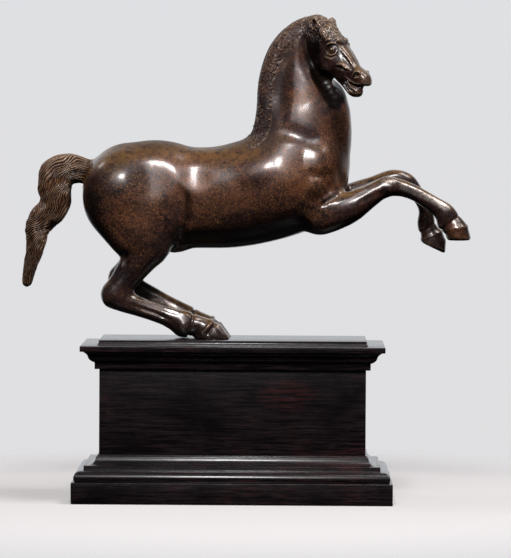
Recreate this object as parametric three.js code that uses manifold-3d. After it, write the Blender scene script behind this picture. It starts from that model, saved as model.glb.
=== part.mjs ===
// A bronze horse rearing on its bent hind legs, on a moulded wooden plinth.
// Millimetres, +Z up. The horse faces +X, its right side is -Y, and the origin is
// the middle of the plinth's underside.

import * as THREE from "three";
import { mergeVertices } from "three/addons/utils/BufferGeometryUtils.js";
import Module from "manifold-3d";

const wasm = await Module();
wasm.setup();

// Driving sizes of the plinth, from the floor up. Heights are quarters of a
// millimetre, so that stacked boards meet on exactly the same plane.
const dieLength = 190;
const dieWidth = 82;
const footHeight = 15.5;
const ovoloHeight = 8;
const filletHeight = 3.5;
const cavettoHeight = 6;
const beadHeight = 1.25;
const dieHeight = 61;
const corniceFilletHeight = 5;
const ogeeHeight = 7.75;
const topFilletHeight = 4;
const panelSlopeHeight = 2;
const panelEdgeHeight = 1.75;

// How far each moulding stands out from the die, on every side.
const footReach = 19.25;
const ovoloReach = 17.5;
const ovoloUndercut = 0.6;
const filletReach = 10.5;
const cavettoFoot = 7.5;
const cavettoHead = 2;
const beadReach = 1;
const corniceFilletReach = 3.25;
const ogeeFoot = 4.25;
const ogeeHead = 11.5;
const ogeeSwing = 0.11;
const topFilletReach = 13.5;
const panelSlopeReach = 1.75;
const panelReach = 0.5;
const arcSteps = 6;

const baseMouldingHeight = ovoloHeight + filletHeight + cavettoHeight + beadHeight;
const corniceHeight = corniceFilletHeight + ogeeHeight + topFilletHeight;
const panelHeight = panelSlopeHeight + panelEdgeHeight;
const plinthHeight = footHeight + baseMouldingHeight + dieHeight + corniceHeight + panelHeight;

// Driving sizes of the horse. Its own heights are measured from the plinth's top.
const standX = -1.6;
const sinkage = 1;
const tip = THREE.MathUtils.degToRad(0.32);
const legSpread = 15;
const farHockLift = 10.5;
const farHockShift = 4;
const headTurn = THREE.MathUtils.degToRad(38);
const poll = [61.2, -1.5, 218.8];
const meshStep = 2.2;
const brick = 6;
const foldGap = 0.06;
const faraway = 1e3;
const horseTriangles = 8800;

const bronze = { color: 0x3a2015, roughness: 0.3, metalness: 0.9 };
const ebonisedWood = { color: 0x120b0b, roughness: 0.38, metalness: 0 };

// Solids

// Makes a solid of a closed geometry, for joining and cutting.
function solidOf(geometry) {
  const bare = geometry.clone();
  bare.deleteAttribute("normal");
  bare.deleteAttribute("uv");
  const merged = mergeVertices(bare, 1e-4);
  return new wasm.Manifold(
    new wasm.Mesh({
      numProp: 3,
      vertProperties: merged.attributes.position.array,
      triVerts: new Uint32Array(merged.index.array),
    }),
  );
}

function geometryOf(solid) {
  const { vertProperties, triVerts } = solid.getMesh();
  const geometry = new THREE.BufferGeometry();
  geometry.setAttribute("position", new THREE.BufferAttribute(new Float32Array(vertProperties), 3));
  geometry.setIndex(new THREE.BufferAttribute(new Uint32Array(triVerts), 1));
  geometry.computeVertexNormals();
  return geometry;
}

// Plinth

// A moulding's profile as [reach, height] pairs, from the bottom up.
function quarterRound(footReachHere, headReach, bottom, height) {
  const points = [];
  for (let i = 0; i <= arcSteps; i++) {
    const turn = (i / arcSteps) * (Math.PI / 2);
    points.push([
      headReach + (footReachHere - headReach) * Math.cos(turn),
      bottom + height * Math.sin(turn),
    ]);
  }
  return points;
}

function hollow(footReachHere, headReach, bottom, height) {
  const points = [];
  for (let i = 0; i <= arcSteps; i++) {
    const turn = (i / arcSteps) * (Math.PI / 2);
    points.push([
      footReachHere - (footReachHere - headReach) * Math.sin(turn),
      bottom + height * (1 - Math.cos(turn)),
    ]);
  }
  return points;
}

function baseMouldingProfile() {
  const ovoloBelly = ovoloHeight * 0.35;
  const ovoloTop = ovoloHeight;
  const filletTop = ovoloTop + filletHeight;
  return [
    [ovoloReach - ovoloUndercut, 0],
    [ovoloReach, ovoloBelly],
    ...quarterRound(ovoloReach, filletReach + 1.5, ovoloBelly, ovoloTop - ovoloBelly).slice(1),
    [filletReach, ovoloTop],
    [filletReach, filletTop],
    ...hollow(cavettoFoot, cavettoHead, filletTop, cavettoHeight),
    [beadReach, filletTop + cavettoHeight],
    [beadReach, baseMouldingHeight],
  ];
}

// The ogee is round below and hollow above, so it swings out to the top fillet.
function corniceProfile() {
  const ogeeTop = corniceFilletHeight + ogeeHeight;
  const points = [
    [corniceFilletReach, 0],
    [corniceFilletReach, corniceFilletHeight],
  ];
  for (let i = 0; i <= 2 * arcSteps; i++) {
    const rise = i / (2 * arcSteps);
    const swing = rise + ogeeSwing * Math.sin(rise * 2 * Math.PI);
    points.push([
      ogeeFoot + (ogeeHead - ogeeFoot) * swing,
      corniceFilletHeight + ogeeHeight * rise,
    ]);
  }
  points.push([topFilletReach, ogeeTop]);
  points.push([topFilletReach, ogeeTop + topFilletHeight]);
  return points;
}

// The panel's edge slopes in below a square arris.
function panelProfile() {
  return [
    [panelSlopeReach, 0],
    [panelReach, panelSlopeHeight],
    [panelReach, panelHeight],
  ];
}

// A board moulded alike on its four sides: the profile is run along the length and
// across the width, and what both runs share has mitred corners.
function mouldedBoard(profile, bottom) {
  const run = (half, otherHalf) => {
    const right = profile.map(([reach, height]) => new THREE.Vector2(half + reach, height));
    const left = profile.map(([reach, height]) => new THREE.Vector2(-half - reach, height)).reverse();
    const length = 2 * (otherHalf + footReach + 1);
    const geometry = new THREE.ExtrudeGeometry(new THREE.Shape([...right, ...left]), {
      depth: length,
      bevelEnabled: false,
    });
    return geometry.translate(0, 0, -length / 2).rotateX(Math.PI / 2);
  };
  const alongY = run(dieLength / 2, dieWidth / 2);
  const alongX = run(dieWidth / 2, dieLength / 2).rotateZ(Math.PI / 2);
  const board = solidOf(alongY).intersect(solidOf(alongX));
  return snapHeights(geometryOf(board), profile).translate(0, 0, bottom);
}

// Puts the vertices back on the profile's own heights after the boolean's rounding.
function snapHeights(geometry, profile) {
  const position = geometry.attributes.position;
  for (let i = 0; i < position.count; i++) {
    const near = profile.find(([, height]) => Math.abs(height - position.getZ(i)) < 1e-3);
    if (near) position.setZ(i, near[1]);
  }
  return geometry;
}

function plainBoard(reach, height, bottom) {
  const board = new THREE.BoxGeometry(dieLength + 2 * reach, dieWidth + 2 * reach, height);
  return board.translate(0, 0, bottom + height / 2);
}

// Wax shapes
// Each shape has a signed distance, negative inside, and a box that it stays in.

function emptyBox() {
  return { min: [Infinity, Infinity, Infinity], max: [-Infinity, -Infinity, -Infinity] };
}

function growBox(box, x, y, z, reach) {
  [x, y, z].forEach((value, axis) => {
    box.min[axis] = Math.min(box.min[axis], value - reach);
    box.max[axis] = Math.max(box.max[axis], value + reach);
  });
}

function distanceToBox(box, x, y, z) {
  const dx = Math.max(box.min[0] - x, 0, x - box.max[0]);
  const dy = Math.max(box.min[1] - y, 0, y - box.max[1]);
  const dz = Math.max(box.min[2] - z, 0, z - box.max[2]);
  return Math.sqrt(dx * dx + dy * dy + dz * dz);
}

// A limb is an oval section swept along a smooth line through its stations.
// A station is [x, y, z, half depth, half width], with depth seen from the side.
function limb(stations, squareness = 2) {
  const line = new THREE.CatmullRomCurve3(
    stations.map(([x, y, z]) => new THREE.Vector3(x, y, z)),
    false,
    "catmullrom",
    0.5,
  );
  const girth = new THREE.SplineCurve(stations.map((s) => new THREE.Vector2(s[3], s[4])));
  const count = (stations.length - 1) * 4;
  const rings = [];
  const box = emptyBox();
  for (let i = 0; i <= count; i++) {
    const centre = line.getPoint(i / count);
    const size = girth.getPoint(i / count);
    rings.push([centre.x, centre.y, centre.z, size.x, size.y]);
    growBox(box, centre.x, centre.y, centre.z, Math.max(size.x, size.y));
  }
  return { box, rings, at: (x, y, z) => distanceToRings(rings, squareness, x, y, z) };
}

function distanceToRings(rings, squareness, x, y, z) {
  let least = Infinity;
  for (let i = 1; i < rings.length; i++) {
    const a = rings[i - 1];
    const b = rings[i];
    const runX = b[0] - a[0];
    const runZ = b[2] - a[2];
    const along = ((x - a[0]) * runX + (z - a[2]) * runZ) / (runX * runX + runZ * runZ);
    const t = Math.min(Math.max(along, 0), 1);
    const dx = x - a[0] - runX * t;
    const dz = z - a[2] - runZ * t;
    const dy = Math.abs(y - a[1] - (b[1] - a[1]) * t);
    const depth = a[3] + (b[3] - a[3]) * t;
    const width = a[4] + (b[4] - a[4]) * t;
    least = Math.min(least, distanceToOval(Math.hypot(dx, dz), dy, depth, width, squareness));
  }
  return least;
}

// The distance from an oval, from its value and the steepness of that value.
function distanceToOval(u, v, depth, width, squareness) {
  const scaledU = u / depth;
  const scaledV = v / width;
  const n = squareness;
  const sum = n === 2 ? scaledU * scaledU + scaledV * scaledV : scaledU ** n + scaledV ** n;
  const value = n === 2 ? Math.sqrt(sum) : sum ** (1 / n);
  if (value < 1e-6) return -Math.min(depth, width);
  const slopeU = (scaledU / value) ** (n - 1) / depth;
  const slopeV = (scaledV / value) ** (n - 1) / width;
  return (value - 1) / Math.hypot(slopeU, slopeV);
}

// An egg is an ellipsoid, pitched in the side view by an angle in degrees.
function egg([x0, y0, z0], [radiusX, radiusY, radiusZ], pitch = 0) {
  const turn = THREE.MathUtils.degToRad(pitch);
  const [c, s] = [Math.cos(turn), Math.sin(turn)];
  const box = emptyBox();
  growBox(box, x0, y0, z0, Math.max(radiusX, radiusY, radiusZ));
  const at = (x, y, z) => {
    const along = ((x - x0) * c + (z - z0) * s) / radiusX;
    const across = (y - y0) / radiusY;
    const up = ((z - z0) * c - (x - x0) * s) / radiusZ;
    const value = Math.hypot(along, across, up);
    const slope = Math.hypot(along / radiusX, across / radiusY, up / radiusZ);
    return value < 1e-6 ? -Math.min(radiusX, radiusY, radiusZ) : (value * (value - 1)) / slope;
  };
  return { box, at };
}

// The same shape on both sides of the horse.
function pair(shape) {
  const box = emptyBox();
  const reach = Math.max(Math.abs(shape.box.min[1]), Math.abs(shape.box.max[1]));
  box.min = [shape.box.min[0], -reach, shape.box.min[2]];
  box.max = [shape.box.max[0], reach, shape.box.max[2]];
  return {
    box,
    at: (x, y, z) => Math.min(shape.at(x, y, z), shape.at(x, -y, z)),
  };
}

// A shape held in the head's own frame, turned about the poll.
function turned(shape, pivot, angle) {
  const [c, s] = [Math.cos(angle), Math.sin(angle)];
  const box = emptyBox();
  for (const x of [shape.box.min[0], shape.box.max[0]])
    for (const y of [shape.box.min[1], shape.box.max[1]])
      for (const z of [shape.box.min[2], shape.box.max[2]])
        growBox(box, pivot[0] + x * c + y * s, pivot[1] - x * s + y * c, pivot[2] + z, 0);
  const at = (x, y, z) => {
    const dx = x - pivot[0];
    const dy = y - pivot[1];
    return shape.at(dx * c - dy * s, dx * s + dy * c, z - pivot[2]);
  };
  return { box, at };
}

// A hoof: a rounded horn box that leans back from its sole, toe along "heading".
function hoof({ sole, heading, length, width, height, lean, heelLean }) {
  const turn = THREE.MathUtils.degToRad(heading);
  const [c, s] = [Math.cos(turn), Math.sin(turn)];
  const box = emptyBox();
  growBox(box, ...sole, length);
  const at = (x, y, z) => {
    const along = (x - sole[0]) * c + (z - sole[2]) * s;
    const up = (z - sole[2]) * c - (x - sole[0]) * s;
    const rise = Math.min(Math.max(up / height, -0.3), 1.3);
    const front = length / 2 - lean * rise;
    const back = -length / 2 - heelLean * rise;
    const middle = (front + back) / 2;
    const halfLength = (front - back) / 2;
    const halfWidth = (width / 2) * (1 - 0.18 * rise);
    const wall = distanceToOval(Math.abs(along - middle), Math.abs(y - sole[1]), halfLength, halfWidth, 2.4);
    const crown = height * (0.75 + (0.25 * (along - middle)) / halfLength);
    return Math.max(wall, -up, up - crown);
  };
  return { box, at };
}

// Modelling in wax

function softMin(a, b, blend) {
  const mix = Math.max(blend - Math.abs(a - b), 0) / blend;
  return Math.min(a, b) - (mix * mix * blend) / 4;
}

// Adds or takes away each shape in turn, with a rounded joint of its own size.
function distanceTo(steps, x, y, z) {
  let d = faraway;
  for (const { add, cut, blend } of steps) {
    const shape = add || cut;
    const far = distanceToBox(shape.box, x, y, z);
    if (add && far <= d + blend) d = softMin(d, add.at(x, y, z), blend);
    if (cut && far <= blend) d = -softMin(-d, cut.at(x, y, z), blend);
  }
  return d;
}

// The steps that can matter within "reach" of a point.
function stepsNear(steps, [x, y, z], reach) {
  return steps.filter(({ add, cut, blend }) => distanceToBox((add || cut).box, x, y, z) <= reach + blend);
}

const add = (shape, blend) => ({ add: shape, blend });
const cut = (shape, blend) => ({ cut: shape, blend });

// The horse

function trunkSteps() {
  const barrel = [
    [-73.0, 0, 109.8, 32.3, 23],
    [-53.0, 0, 106.4, 37.5, 27.5],
    [-35.3, 0, 102.8, 36.6, 27],
    [-18.0, 0, 102.2, 36.4, 28],
    [-0.7, 0, 103.2, 37.2, 29],
    [17.3, 0, 106.8, 38.0, 28.5],
    [35.3, 0, 109.6, 36.0, 27.5],
    [50.0, 0, 113.0, 32.0, 25],
    [56.0, 0, 120.0, 25.0, 20],
  ];
  const neck = [
    [46.0, 0, 116.0, 32.5, 26.5],
    [49.0, 0, 132.0, 36.0, 25.5],
    [52.2, 0, 150.4, 34.6, 22.5],
    [53.2, 0, 164.8, 31.6, 18.6],
    [50.6, -0.5, 179.2, 27.4, 15.2],
    [44.8, -1, 190.0, 22.4, 12.8],
    [45.2, -1.5, 200.8, 18.2, 11.2],
    [49.5, -2, 211.6, 15.5, 10.4],
    [56.5, -2, 219.0, 12.5, 9.6],
  ];
  return [
    add(limb(barrel, 2.2), 1),
    add(limb(neck, 2), 10),
    add(pair(egg([-81, 13, 103], [25.6, 17, 31])), 7),
    add(pair(egg([38, 15, 113], [24, 14, 29], -22)), 12),
    add(pair(egg([56, 11, 121], [16, 12, 21], -10)), 7),
    add(egg([-41, 0, 67.5], [9.5, 6, 5], 0), 6),
  ];
}

function hindLegSteps(side, lift, shift) {
  const y = side * legSpread;
  const hip = side * (legSpread - 2);
  const thigh = [
    [-70.0, hip, 103.0, 31.0, 16],
    [-66.4, y, 84.6, 27.0, 15],
    [-61.6, y, 71.8, 19.6, 12.5],
    [-64.0, y, 62.8, 14.4, 10.6],
    [-68.2 + 0.2 * shift, y, 55.4 + 0.2 * lift, 12.0, 9.3],
    [-72.6 + 0.5 * shift, y, 48.9 + 0.5 * lift, 10.8, 8.3],
    [-77.8 + 0.8 * shift, y, 41.7 + 0.8 * lift, 9.5, 7.7],
    [-83.4 + shift, y, 34.4 + lift, 9.3, 7.5],
  ];
  const cannon = [
    [-84.0 + shift, y, 31.8 + lift, 9.3, 7.5],
    [-76.6 + 0.8 * shift, y, 28.4 + 1.1 * lift, 8.4, 7.0],
    [-68.4, y, 25.0 + 1.1 * lift, 7.3, 6.2],
    [-58.3, y, 21.4 + 0.92 * lift, 6.8, 5.8],
    [-47.5, y, 17.6 + 0.68 * lift, 6.9, 5.9],
    [-40.3, y, 15.0 + 0.46 * lift, 8.1, 6.7],
    [-33.8, y, 12.9 + 0.28 * lift, 8.9, 7.1],
    [-26.0, y, 11.4 + 0.18 * lift, 7.2, 6.6],
    [-17.5, y, 9.2 + 0.08 * lift, 6.9, 7.0],
  ];
  return [
    add(limb(thigh), 6),
    add(limb(cannon), 3.5),
    add(egg([-34.5, y, 9.0], [7.4, 6.8, 7.0], -20), 3),
    add(
      hoof({
        sole: [-12.9, y, 0],
        heading: 0,
        length: 27.6,
        width: 16.4,
        height: 13.6,
        lean: 9.6,
        heelLean: -1,
      }),
      1.2,
    ),
  ];
}

function nearForelegSteps() {
  const leg = [
    [64.0, -14, 91.0, 16.2, 11],
    [74.6, -15, 93.0, 13.9, 10.5],
    [85.6, -15, 95.6, 11.1, 9.6],
    [97.0, -14.5, 102.4, 8.8, 8.2],
    [105.0, -14, 107.2, 7.5, 7],
    [112.2, -13.5, 110.4, 7.5, 6.9],
    [118.9, -13, 110.0, 6.6, 6.3],
    [126.4, -13, 108.0, 5.9, 5.4],
    [133.8, -13, 104.7, 5.7, 4.9],
    [142.4, -13, 99.4, 5.9, 5.0],
    [149.6, -13, 94.6, 6.6, 5.6],
    [153.8, -13, 90.6, 7.7, 6.2],
    [158.0, -13, 84.8, 7.6, 6.0],
    [161.8, -13, 80.4, 7.6, 6.8],
  ];
  return [
    add(limb(leg), 6),
    add(egg([151.8, -13, 82.6], [4.4, 4.6, 3.6], -40), 3),
    add(
      hoof({
        sole: [163.7, -13, 71.6],
        heading: 0,
        length: 18,
        width: 15.6,
        height: 12.4,
        lean: 3.6,
        heelLean: 2.2,
      }),
      1.2,
    ),
  ];
}

function farForelegSteps() {
  const leg = [
    [64.0, 14, 91.0, 16.2, 11],
    [72.6, 15, 96.6, 12.0, 10.5],
    [84.6, 15, 102.4, 9.4, 9.4],
    [94.2, 14.5, 107.5, 7.6, 8.2],
    [103.6, 14, 111.0, 6.9, 7.2],
    [112.9, 13.5, 115.2, 6.5, 6.8],
    [119.4, 13, 116.2, 6.2, 6.6],
    [126.5, 13, 113.8, 6.2, 6.4],
    [131.2, 13, 108.8, 5.7, 5.6],
    [135.3, 13, 102.8, 5.0, 4.9],
    [138.6, 13, 97.4, 4.9, 4.8],
    [140.6, 13, 91.4, 5.4, 5.0],
    [140.8, 13, 83.0, 6.8, 6.0],
    [143.2, 13, 77.0, 6.8, 5.8],
    [146.6, 13, 73.5, 7.2, 6.6],
  ];
  return [
    add(limb(leg), 6),
    add(
      hoof({
        sole: [145.4, 13, 65.6],
        heading: -26,
        length: 20.6,
        width: 15.6,
        height: 10.6,
        lean: 4.4,
        heelLean: 1.5,
      }),
      1.2,
    ),
  ];
}

function onHead(shape) {
  return turned(shape, poll, headTurn);
}

function headSteps() {
  const skull = [
    [1.5, 0, -0.6, 12.0, 9.2],
    [9.2, 0, -6.4, 12.4, 9.9],
    [16.7, 0, -14.4, 12.1, 9.7],
    [25, 0, -21.6, 10.1, 8.0],
    [32, 0, -26.4, 7.6, 6.2],
    [38.5, 0, -29.6, 6.2, 5.6],
    [43, 0, -31.6, 5.0, 5.8],
    [44.4, 0, -34, 4.4, 5.2],
  ];
  const lowerJaw = [
    [20.6, 0, -27.4, 5.4, 4.8],
    [27, 0, -32.8, 4.9, 4.5],
    [33.4, 0, -38.9, 5.2, 4.8],
    [37.4, 0, -40.6, 4.2, 4.4],
  ];
  const ear = [
    [7.0, 8.2, 3.5, 3.2, 2.8],
    [6.8, 9.6, 7.4, 4.2, 3.2],
    [6.6, 10.2, 10.6, 3.2, 2.3],
    [6.2, 10.2, 13.2, 1.4, 1.2],
  ];
  const cheekbone = [
    [20, 8.4, -17.6, 2, 1.9],
    [34, 5.6, -25.4, 1.6, 1.6],
  ];
  const throat = [
    [-1, 10.5, -2, 2.4, 2.6],
    [1.5, 11.5, -14, 3.0, 3.6],
    [8, 10, -29, 2.8, 4],
    [19, 6.5, -37.5, 2.4, 5],
  ];
  const lipLine = [
    [31, 6.6, -31.4, 0.8, 2.6],
    [38, 5.8, -35.4, 1.1, 3],
    [47, 3, -38.6, 1.5, 5],
  ];
  return [
    cut(onHead(pair(limb(throat))), 5),
    add(onHead(limb(skull, 2.3)), 5),
    add(onHead(limb(lowerJaw)), 3),
    add(onHead(pair(egg([14.5, 6.2, -19.5], [9.4, 5.0, 9.4]))), 2),
    add(onHead(pair(egg([20, 7.4, -7.4], [6, 3.2, 2.8], -40))), 2),
    cut(onHead(pair(egg([21.6, 11.2, -11.4], [3.6, 2.4, 3.0], -20))), 1.2),
    add(onHead(pair(egg([21.4, 7.6, -11.4], [3.2, 2.8, 2.8]))), 0.6),
    add(onHead(pair(limb(cheekbone))), 2),
    add(onHead(pair(limb(ear))), 1.5),
    cut(onHead(pair(egg([8.0, 12.4, 7.8], [2.3, 2.8, 3.8]))), 0.8),
    cut(onHead(pair(limb(lipLine))), 0.8),
    add(onHead(pair(egg([41.4, 4.6, -27.6], [3.4, 2.4, 2.4], -30))), 1.5),
    cut(onHead(pair(egg([42.2, 7.2, -28], [2.0, 1.8, 1.3], 30))), 0.8),
  ];
}

// Hair: the mane's band of locks down the crest, the forelock and the tail.
function maneSteps() {
  const crest = [
    [62.0, -1, 226.0, 8.2, 7],
    [50.4, -1, 222.6, 8.2, 9],
    [41.4, -1, 216.0, 8.4, 10.4],
    [34.2, -0.8, 206.6, 8.4, 11],
    [29.8, -0.6, 195.8, 8.2, 11.4],
    [27.0, -0.3, 183.2, 8.2, 11.8],
    [25.6, 0, 169.6, 7.4, 12],
    [23.4, 0, 157.4, 6.6, 12],
    [19.4, 0, 147.0, 5, 10],
    [13.0, 0, 138.0, 3, 7],
  ];
  const band = limb(crest);
  const steps = [add(band, 2)];
  const rows = [-0.75, -0.1, 0.6];
  const lockCount = 13;
  const along = (at) => band.rings[Math.round(at * (band.rings.length - 1))];
  for (let i = 0; i < lockCount; i++)
    rows.forEach((across, row) => {
      const at = (i + 0.5 + 0.3 * row) / (lockCount + 1);
      const [x, , z, depth, width] = along(at);
      const [xBefore, , zBefore] = along(Math.max(at - 0.05, 0));
      const [xAfter, , zAfter] = along(Math.min(at + 0.05, 1));
      const heading = Math.atan2(zAfter - zBefore, xAfter - xBefore);
      const off = -across * depth;
      const side = width * Math.sqrt(1 - across * across);
      const centre = [x - off * Math.sin(heading), side - 1, z + off * Math.cos(heading)];
      const slant = THREE.MathUtils.radToDeg(heading) + [25, -30, 35][row];
      steps.push(add(pair(egg(centre, [4.9, 2.5, 2.3], slant)), 0.6));
    });
  return steps;
}

// The forelock's curls lie in rows down the forehead and over the temples.
function forelockSteps() {
  const steps = [];
  const rows = 4;
  const across = 5;
  for (let row = 0; row < rows; row++)
    for (let i = 0; i < across; i++) {
      const side = i - (across - 1) / 2;
      if (row === rows - 1 && Math.abs(side) === 2) continue;
      const u = 8.8 + 4.0 * row + (row % 2 ? 0.8 : -0.6) * (i % 2);
      const w = 9.2 - 4.2 * row - 0.9 * side * side;
      const pitch = i % 2 ? 20 : -60;
      steps.push(add(onHead(egg([u, side * 4.2, w], [3.5, 2.7, 2.9], pitch)), 0.7));
    }
  return steps;
}

const tailStations = [
  [-98.0, 0, 120.8, 8.6, 7],
  [-107.0, 0, 121.9, 9.2, 7.5],
  [-116.6, 0, 123.6, 11.4, 8.2],
  [-125.2, 0, 119.4, 13.6, 8.8],
  [-127.0, 0, 109.8, 13.0, 8.8],
  [-126.6, 0, 100.0, 11.6, 8.4],
  [-129.2, 0, 93.0, 10.8, 8],
  [-135.6, 0, 87.2, 10.4, 7.6],
  [-140.2, 0, 79.2, 8.8, 6.8],
  [-140.8, 0, 68.5, 7.0, 6],
  [-143.4, 0, 58.0, 5.6, 5],
  [-145.8, 0, 48.6, 4.3, 4],
  [-147.8, 0, 40.4, 3.1, 3],
];

// Each strand runs down the tail at its own place round the section, and sways in
// and out so that strands part and meet.
function tailSteps() {
  const core = limb(tailStations.map(([x, y, z, depth, width]) => [x, y, z, depth * 0.92, width * 0.86]));
  const steps = [add(core, 4)];
  const strandCount = 9;
  const last = tailStations.length - 1;
  for (let k = 0; k < strandCount; k++) {
    const around = (2 * Math.PI * (k + 0.5)) / strandCount;
    const strand = tailStations.slice(1).map(([x, , z, depth, width], i) => {
      const before = tailStations[i];
      const after = tailStations[Math.min(i + 2, last)];
      const heading = Math.atan2(after[2] - before[2], after[0] - before[0]);
      const sway = around + 0.35 * Math.sin(i * 0.9 + k);
      const off = depth * 0.78 * Math.cos(sway);
      const size = 0.9 + 0.14 * depth;
      return [
        x - off * Math.sin(heading),
        width * 0.8 * Math.sin(sway),
        z + off * Math.cos(heading),
        size,
        size,
      ];
    });
    steps.push(add(limb(strand), 0.9));
  }
  return steps;
}

// Skin

// Meshes the surface where the distance is nought: one vertex in each grid cell that
// it crosses, and four of them joined round each grid edge that it crosses.
function skinOf(steps, low, high, step) {
  const size = low.map((value, axis) => Math.ceil((high[axis] - value) / step) + 1);
  const [nx, ny, nz] = size;
  const index = (i, j, k) => i + nx * (j + ny * k);
  const values = new Float32Array(nx * ny * nz).fill(faraway);
  const halfBrick = (brick * step) / 2;
  for (let k0 = 0; k0 < nz; k0 += brick)
    for (let j0 = 0; j0 < ny; j0 += brick)
      for (let i0 = 0; i0 < nx; i0 += brick) {
        const middle = [i0, j0, k0].map((cell, axis) => low[axis] + cell * step + halfBrick);
        const near = stepsNear(steps, middle, 2.5 * halfBrick + 2 * step);
        if (!near.length) continue;
        for (let k = k0; k < Math.min(k0 + brick, nz); k++)
          for (let j = j0; j < Math.min(j0 + brick, ny); j++)
            for (let i = i0; i < Math.min(i0 + brick, nx); i++)
              values[index(i, j, k)] =
                distanceTo(near, low[0] + i * step, low[1] + j * step, low[2] + k * step);
      }

  const corners = [];
  for (let n = 0; n < 8; n++) corners.push([n & 1, (n >> 1) & 1, (n >> 2) & 1]);
  const edges = [];
  for (let a = 0; a < 8; a++)
    for (const bit of [1, 2, 4]) if (!(a & bit)) edges.push([a, a | bit]);

  const vertexAt = new Int32Array(values.length).fill(-1);
  const points = [];
  for (let k = 0; k < nz - 1; k++)
    for (let j = 0; j < ny - 1; j++)
      for (let i = 0; i < nx - 1; i++) {
        const v = corners.map(([a, b, c]) => values[index(i + a, j + b, k + c)]);
        const inside = v.filter((value) => value < 0).length;
        if (inside === 0 || inside === 8) continue;
        const sum = [0, 0, 0];
        let hits = 0;
        for (const [a, b] of edges) {
          if (v[a] < 0 === v[b] < 0) continue;
          const t = v[a] / (v[a] - v[b]);
          for (let axis = 0; axis < 3; axis++)
            sum[axis] += corners[a][axis] + (corners[b][axis] - corners[a][axis]) * t;
          hits++;
        }
        vertexAt[index(i, j, k)] = points.length;
        points.push([i, j, k].map((cell, axis) => low[axis] + (cell + sum[axis] / hits) * step));
      }

  const faces = [];
  const quad = (a, b, c, d, flip) => {
    const ring = flip ? [a, b, c, d] : [a, d, c, b];
    const short = gap(points[ring[0]], points[ring[2]]) < gap(points[ring[1]], points[ring[3]]);
    if (short) faces.push([ring[0], ring[1], ring[2]], [ring[0], ring[2], ring[3]]);
    else faces.push([ring[1], ring[2], ring[3]], [ring[1], ring[3], ring[0]]);
  };
  for (let k = 1; k < nz - 1; k++)
    for (let j = 1; j < ny - 1; j++)
      for (let i = 1; i < nx - 1; i++) {
        const here = values[index(i, j, k)] < 0;
        const at = (a, b, c) => vertexAt[index(i - a, j - b, k - c)];
        if (here !== values[index(i + 1, j, k)] < 0)
          quad(at(0, 0, 0), at(0, 1, 0), at(0, 1, 1), at(0, 0, 1), here);
        if (here !== values[index(i, j + 1, k)] < 0)
          quad(at(0, 0, 0), at(0, 0, 1), at(1, 0, 1), at(1, 0, 0), here);
        if (here !== values[index(i, j, k + 1)] < 0)
          quad(at(0, 0, 0), at(1, 0, 0), at(1, 1, 0), at(0, 1, 0), here);
      }
  return { points, faces };
}

function gap(a, b) {
  return Math.hypot(a[0] - b[0], a[1] - b[1], a[2] - b[2]);
}

// Moves each vertex along the steepest way onto the surface.
function settle({ points }, steps, most) {
  const reach = 0.05;
  for (const p of points) {
    const near = stepsNear(steps, p, 2 * most);
    for (let pass = 0; pass < 2; pass++) {
      const d = distanceTo(near, ...p);
      const slope = [0, 1, 2].map((axis) => {
        const q = [...p];
        q[axis] += reach;
        return (distanceTo(near, ...q) - d) / reach;
      });
      const steep = Math.hypot(...slope);
      if (steep < 0.2) continue;
      const move = Math.min(Math.max(d / steep, -most), most);
      slope.forEach((value, axis) => (p[axis] -= (move * value) / steep));
    }
  }
}

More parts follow.
